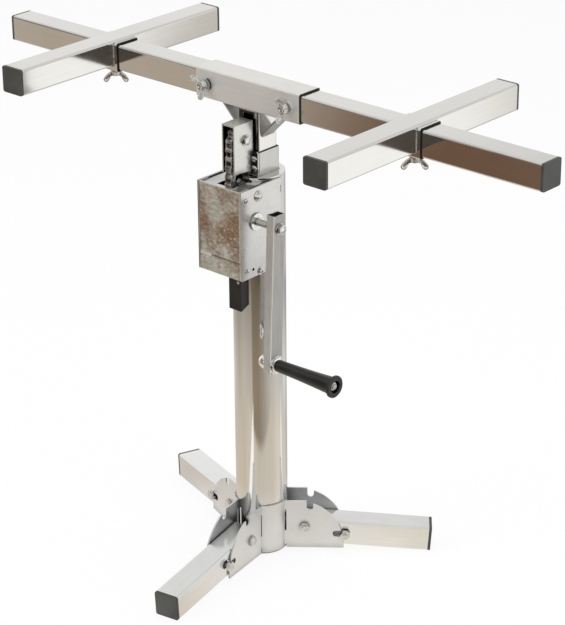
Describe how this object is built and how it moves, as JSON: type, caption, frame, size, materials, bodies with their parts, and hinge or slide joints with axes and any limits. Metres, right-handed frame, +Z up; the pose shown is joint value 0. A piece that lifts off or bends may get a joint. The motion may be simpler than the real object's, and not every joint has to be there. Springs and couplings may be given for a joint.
{
  "type": "cabinet lift jack",
  "caption": "Cabinet lift jack: folding tripod stand, hand winch with roller chain and load brake, square mast, sliding beam halves and two cross arms with flat tops",
  "frame": {"origin": "On the column's axis, at floor level, where the legs' outer ends stand", "axes": "+X along the beam towards the crank's side, +Y along the cross arms away from the winch, +Z up"},
  "size_m": [0.9708, 0.452, 0.7337],
  "materials": {
    "polished_steel": "polished",
    "brushed_steel": "brushed",
    "cover_steel": "brushed",
    "galvanised_steel": "satin",
    "bright_zinc": "polished",
    "dark_steel": "satin",
    "brake_lining": "matte",
    "black_plastic": "satin",
    "cap_plastic": "matte"
  },
  "bodies": {
    "column": {"column_tube": "polished_steel", "foot_plug": "black_plastic", "column_ring": "polished_steel", "guide_tube": "brushed_steel", "bracket_1": "galvanised_steel", "bracket_2": "galvanised_steel", "bracket_3": "galvanised_steel", "pivot_bolts": "bright_zinc", "winch_sides": "galvanised_steel", "cover_upper": "cover_steel", "cover_lower": "cover_steel", "winch_top": "galvanised_steel", "winch_bottom": "galvanised_steel", "winch_screws": "bright_zinc", "shaft_bushes": "bright_zinc", "chain_guard": "black_plastic", "idler_housing": "galvanised_steel", "idler_bolts": "bright_zinc", "lift_chain": "dark_steel", "ratchet_wheel": "dark_steel", "pawl_pin": "bright_zinc"},
    "idler": {"idler_sprocket": "dark_steel"},
    "crank": {"crank_shaft": "bright_zinc", "crank_gear": "dark_steel", "brake_hub": "dark_steel", "friction_discs": "brake_lining", "crank_arm": "brushed_steel", "hub_bolt": "bright_zinc", "handle_spindle": "bright_zinc", "handle_nuts": "bright_zinc"},
    "handle_grip": {"grip": "black_plastic"},
    "drive": {"drive_shaft": "bright_zinc", "drive_sprocket": "dark_steel", "drive_gear": "dark_steel"},
    "ratchet_pawl": {"pawl": "dark_steel"},
    "mast": {"mast_tube": "polished_steel", "chain_anchor": "dark_steel", "head_tube": "brushed_steel", "gusset_strips": "polished_steel"},
    "wing_1": {"wing_bolt_1": "bright_zinc"},
    "wing_2": {"wing_bolt_2": "bright_zinc"},
    "beam_l": {"beam_left": "polished_steel", "beam_cap_left": "cap_plastic"},
    "beam_r": {"beam_right": "polished_steel", "beam_cap_right": "cap_plastic"},
    "arm_l": {"cross_arm_left": "polished_steel", "arm_caps_left": "cap_plastic"},
    "arm_r": {"cross_arm_right": "polished_steel", "arm_caps_right": "cap_plastic"},
    "wing_3": {"wing_bolt_3": "bright_zinc"},
    "wing_4": {"wing_bolt_4": "bright_zinc"},
    "leg_1": {"leg_tube_1": "polished_steel", "leg_cap_1": "cap_plastic"},
    "leg_2": {"leg_tube_2": "polished_steel", "leg_cap_2": "cap_plastic"},
    "leg_3": {"leg_tube_3": "polished_steel", "leg_cap_3": "cap_plastic"},
    "lock_1": {"lock_bolt_1": "bright_zinc"},
    "lock_2": {"lock_bolt_2": "bright_zinc"},
    "lock_3": {"lock_bolt_3": "bright_zinc"}
  },
  "joints": [
    {"name": "mast_lift", "type": "slide", "parent": "column", "child": "mast", "axis": [0, 0, 1], "range_m": [0, 0.42], "deforming": ["lift_chain"]},
    {"name": "drive_turn", "type": "hinge", "parent": "column", "child": "drive", "pos_m": [0, -0.0455, 0.57935], "axis": [1, 0, 0], "range_deg": [0, 1990]},
    {"name": "idler_turn", "type": "hinge", "parent": "column", "child": "idler", "pos_m": [0, -0.0375, 0.651], "axis": [1, 0, 0], "range_deg": [0, 1490]},
    {"name": "crank_turn", "type": "hinge", "parent": "column", "child": "crank", "pos_m": [0, -0.0505, 0.5435], "axis": [1, 0, 0], "range_deg": [-1000, 0]},
    {"name": "grip_turn", "type": "hinge", "parent": "crank", "child": "handle_grip", "pos_m": [0, -0.05966, 0.34171], "axis": [1, 0, 0], "continuous": true},
    {"name": "pawl_lift", "type": "hinge", "parent": "column", "child": "ratchet_pawl", "pos_m": [0, -0.0695, 0.5635], "axis": [1, 0, 0], "range_deg": [0, 25], "stiffness_Nm_per_rad": 0.02},
    {"name": "beam_left_slide", "type": "slide", "parent": "mast", "child": "beam_l", "axis": [-1, 0, 0], "range_m": [-0.025, 0.04]},
    {"name": "beam_right_slide", "type": "slide", "parent": "mast", "child": "beam_r", "axis": [1, 0, 0], "range_m": [-0.025, 0.026]},
    {"name": "arm_left_slide", "type": "slide", "parent": "beam_l", "child": "arm_l", "axis": [-1, 0, 0], "range_m": [-0.12, 0.165]},
    {"name": "arm_right_slide", "type": "slide", "parent": "beam_r", "child": "arm_r", "axis": [1, 0, 0], "range_m": [-0.12, 0.18]},
    {"name": "wing_1_turn", "type": "hinge", "parent": "mast", "child": "wing_1", "pos_m": [-0.075, -0.03, 0.709], "axis": [0, -1, 0], "range_deg": [0, 360]},
    {"name": "wing_2_turn", "type": "hinge", "parent": "mast", "child": "wing_2", "pos_m": [0.075, -0.03, 0.709], "axis": [0, -1, 0], "range_deg": [0, 360]},
    {"name": "wing_3_turn", "type": "hinge", "parent": "arm_l", "child": "wing_3", "pos_m": [-0.277, 0, 0.68], "axis": [0, 0, -1], "range_deg": [0, 360]},
    {"name": "wing_4_turn", "type": "hinge", "parent": "arm_r", "child": "wing_4", "pos_m": [0.277, 0, 0.68], "axis": [0, 0, -1], "range_deg": [0, 360]},
    {"name": "leg_1_fold", "type": "hinge", "parent": "column", "child": "leg_1", "pos_m": [0.04907, 0.04031, 0.04059], "axis": [0.6347, -0.7727, 0], "range_deg": [0, 94]},
    {"name": "leg_2_fold", "type": "hinge", "parent": "column", "child": "leg_2", "pos_m": [-0.05944, 0.02234, 0.04059], "axis": [0.3518, 0.9361, 0], "range_deg": [0, 94]},
    {"name": "leg_3_fold", "type": "hinge", "parent": "column", "child": "leg_3", "pos_m": [0.01037, -0.06265, 0.04059], "axis": [-0.9866, -0.1633, 0], "range_deg": [0, 94]},
    {"name": "lock_1_slide", "type": "slide", "parent": "leg_1", "child": "lock_1", "axis": [0.7709, 0.6332, -0.0698], "range_m": [-0.0136, 0]},
    {"name": "lock_2_slide", "type": "slide", "parent": "leg_2", "child": "lock_2", "axis": [-0.9338, 0.351, -0.0698], "range_m": [-0.0136, 0]},
    {"name": "lock_3_slide", "type": "slide", "parent": "leg_3", "child": "lock_3", "axis": [0.1629, -0.9842, -0.0698], "range_m": [-0.0136, 0]}
  ],
  "couplings": [
    {"joint": "drive_turn", "follows": "mast_lift", "rad_per_m": 82.457},
    {"joint": "idler_turn", "follows": "mast_lift", "rad_per_m": 61.842},
    {"joint": "crank_turn", "follows": "mast_lift", "rad_per_m": -41.228}
  ]
}
